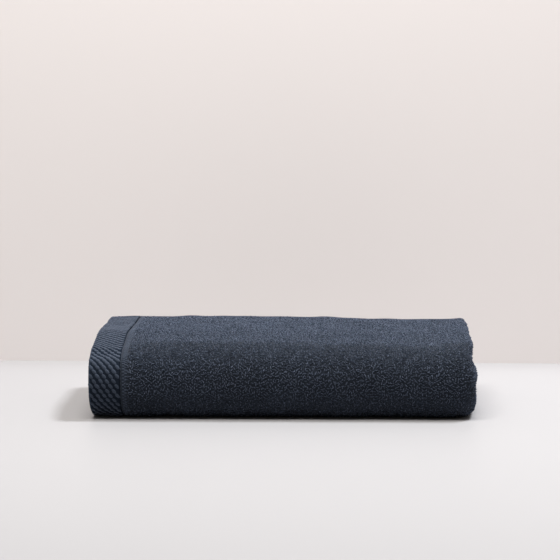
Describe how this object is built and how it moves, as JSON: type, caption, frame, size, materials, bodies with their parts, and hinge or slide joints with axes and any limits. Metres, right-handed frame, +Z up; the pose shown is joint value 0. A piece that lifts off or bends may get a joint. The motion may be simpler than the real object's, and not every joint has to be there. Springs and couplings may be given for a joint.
{
  "type": "bath towel",
  "caption": "Terry bath towel folded into a flat rectangular bundle: smooth rounded front turn, patterned hemmed border at one end, soft folds at the other.",
  "frame": {"origin": "centre of the underside of the folded towel's bounding box, on the surface it rests on", "axes": "+X runs along the folded bundle from the bordered end to the folded end, +Y from the smooth front turn to the free edges at the back, +Z up through the stacked panels"},
  "size_m": [0.3534, 0.2503, 0.0738],
  "materials": {
    "terry_field": "looped cotton pile, matt",
    "border": "flat patterned weave, matt",
    "rib_strip": "plain ribbed weave, matt",
    "side_hem": "plain weave turned double, matt",
    "thread": "sewing thread, matt",
    "care_label": "blank woven ribbon, slight sheen"
  },
  "bodies": {
    "root": {"terry_field": "terry_field", "end_hem_a": "border", "end_hem_b": "border", "rib_strip_a": "rib_strip", "rib_strip_b": "rib_strip", "side_hem_outer": "side_hem", "side_hem_inner": "side_hem", "end_stitch_a": "thread", "end_stitch_b": "thread", "side_stitch_outer": "thread", "side_stitch_inner": "thread", "care_label": "care_label"}
  },
  "joints": []
}
